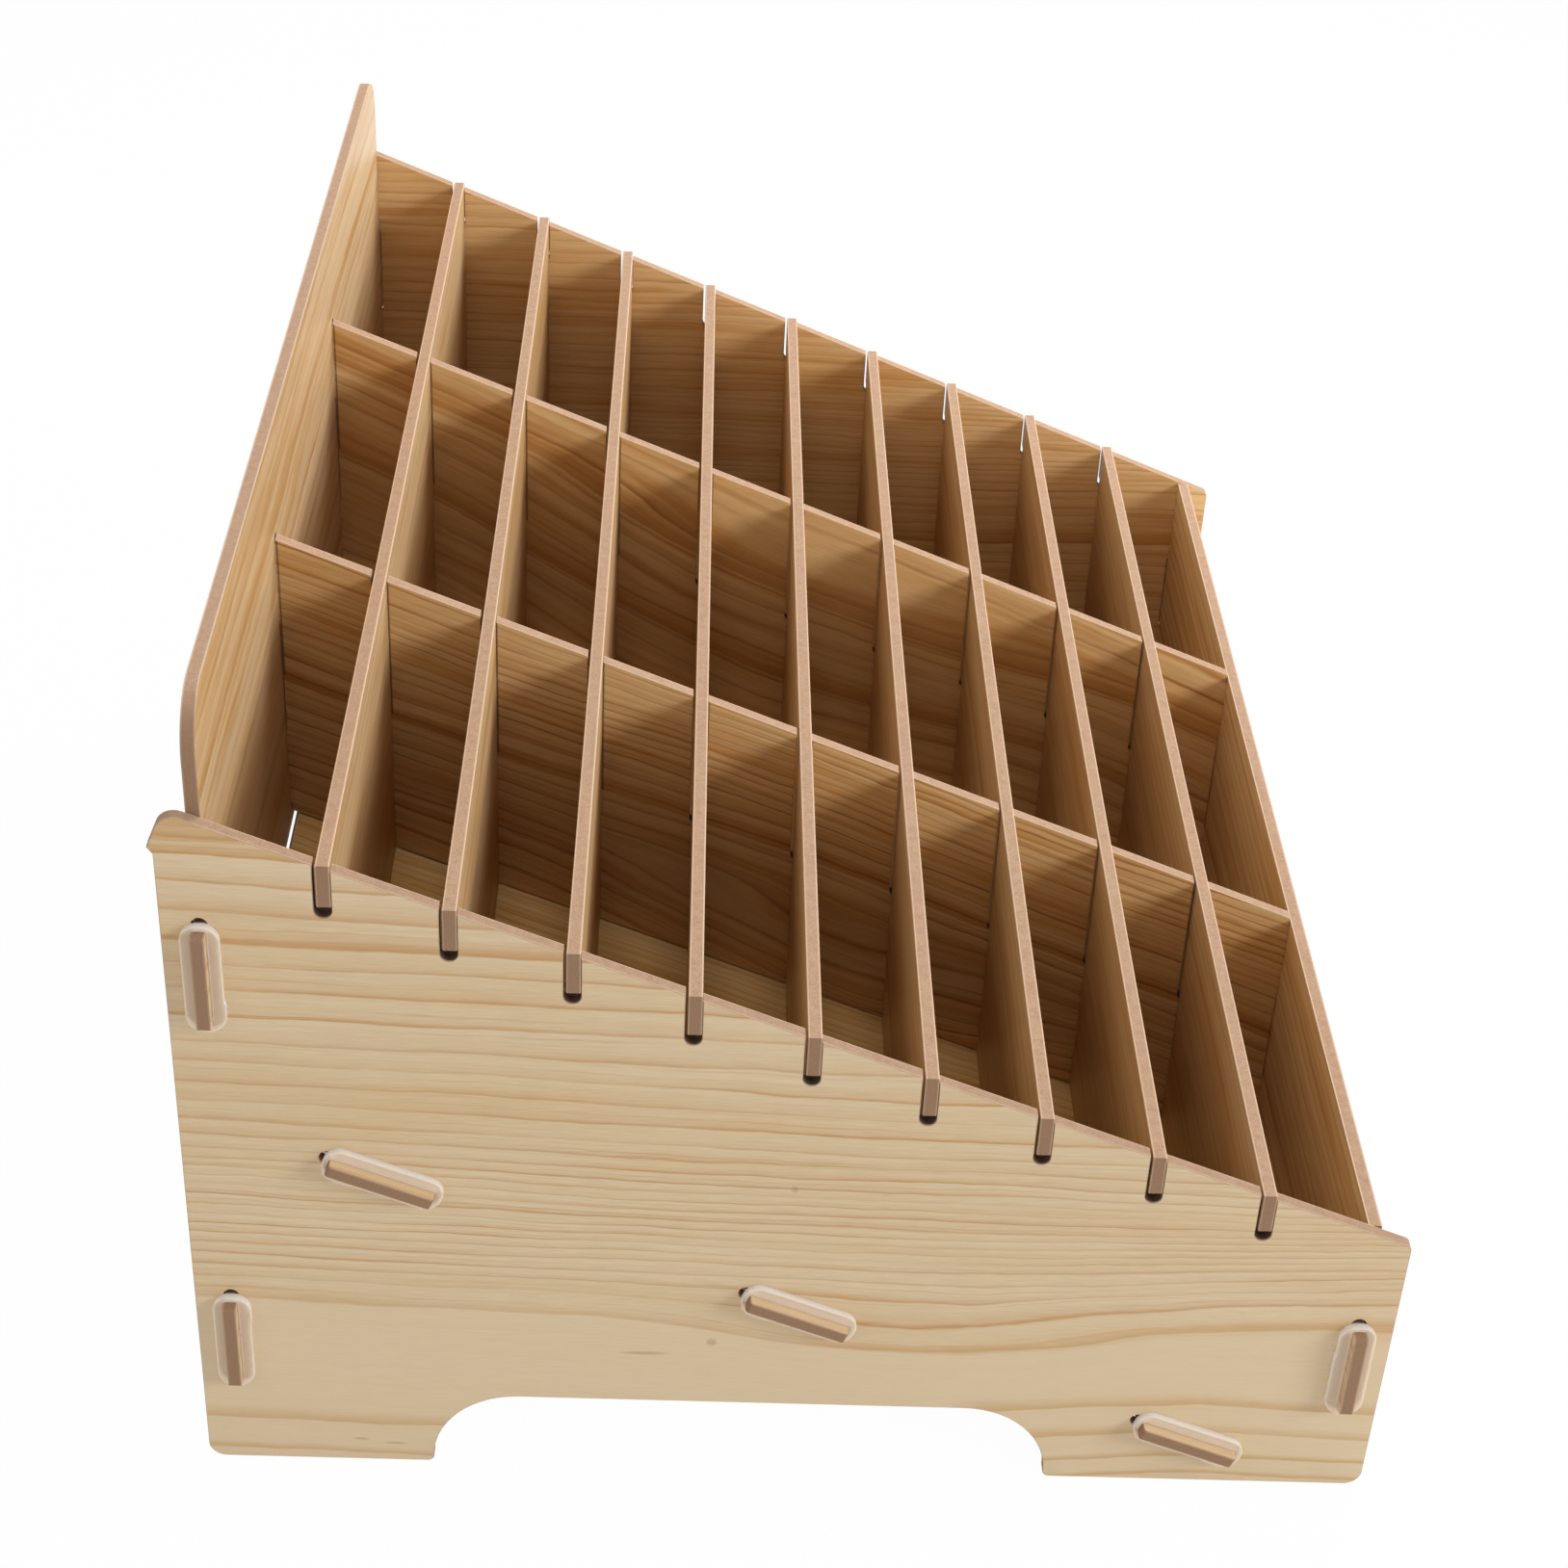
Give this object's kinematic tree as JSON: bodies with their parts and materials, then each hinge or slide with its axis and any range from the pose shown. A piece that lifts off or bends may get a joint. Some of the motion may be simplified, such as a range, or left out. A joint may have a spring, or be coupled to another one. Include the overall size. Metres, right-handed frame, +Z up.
{
  "type": "letter rack",
  "caption": "Desk rack with rows of upright compartments on a sloping floor, slotted together from thin laminated boards, with lift-out row dividers for letters or phones.",
  "frame": {"origin": "middle of the rack's box at the underside of its feet", "axes": "+X along the row dividers, +Y towards the tall back, +Z up"},
  "size_m": [0.3544, 0.2714, 0.2078],
  "materials": {
    "laminated_board": "printed pine paper on both faces, satin, with raw fibreboard edges",
    "silicone_ring": "soft translucent white, satin"
  },
  "bodies": {
    "rack": {"left_side_panel": "laminated_board", "right_side_panel": "laminated_board", "back_panel": "laminated_board", "front_panel": "laminated_board", "floor_panel": "laminated_board", "left_column_divider": "laminated_board", "right_column_divider": "laminated_board", "left_ring_back_upper": "silicone_ring", "left_ring_back_lower": "silicone_ring", "left_ring_front": "silicone_ring", "left_ring_floor_back": "silicone_ring", "left_ring_floor_middle": "silicone_ring", "left_ring_floor_front": "silicone_ring", "right_ring_back_upper": "silicone_ring", "right_ring_back_lower": "silicone_ring", "right_ring_front": "silicone_ring", "right_ring_floor_back": "silicone_ring", "right_ring_floor_middle": "silicone_ring", "right_ring_floor_front": "silicone_ring"},
    "row_divider_1": {"row_divider_1": "laminated_board"},
    "row_divider_2": {"row_divider_2": "laminated_board"},
    "row_divider_3": {"row_divider_3": "laminated_board"},
    "row_divider_4": {"row_divider_4": "laminated_board"},
    "row_divider_5": {"row_divider_5": "laminated_board"},
    "row_divider_6": {"row_divider_6": "laminated_board"},
    "row_divider_7": {"row_divider_7": "laminated_board"},
    "row_divider_8": {"row_divider_8": "laminated_board"},
    "row_divider_9": {"row_divider_9": "laminated_board"}
  },
  "joints": [
    {"name": "row_divider_1_lift", "type": "slide", "parent": "rack", "child": "row_divider_1", "axis": [0, 0, 1], "range_m": [0, 0.085]},
    {"name": "row_divider_2_lift", "type": "slide", "parent": "rack", "child": "row_divider_2", "axis": [0, 0, 1], "range_m": [0, 0.085]},
    {"name": "row_divider_3_lift", "type": "slide", "parent": "rack", "child": "row_divider_3", "axis": [0, 0, 1], "range_m": [0, 0.085]},
    {"name": "row_divider_4_lift", "type": "slide", "parent": "rack", "child": "row_divider_4", "axis": [0, 0, 1], "range_m": [0, 0.085]},
    {"name": "row_divider_5_lift", "type": "slide", "parent": "rack", "child": "row_divider_5", "axis": [0, 0, 1], "range_m": [0, 0.085]},
    {"name": "row_divider_6_lift", "type": "slide", "parent": "rack", "child": "row_divider_6", "axis": [0, 0, 1], "range_m": [0, 0.085]},
    {"name": "row_divider_7_lift", "type": "slide", "parent": "rack", "child": "row_divider_7", "axis": [0, 0, 1], "range_m": [0, 0.085]},
    {"name": "row_divider_8_lift", "type": "slide", "parent": "rack", "child": "row_divider_8", "axis": [0, 0, 1], "range_m": [0, 0.085]},
    {"name": "row_divider_9_lift", "type": "slide", "parent": "rack", "child": "row_divider_9", "axis": [0, 0, 1], "range_m": [0, 0.085]}
  ]
}
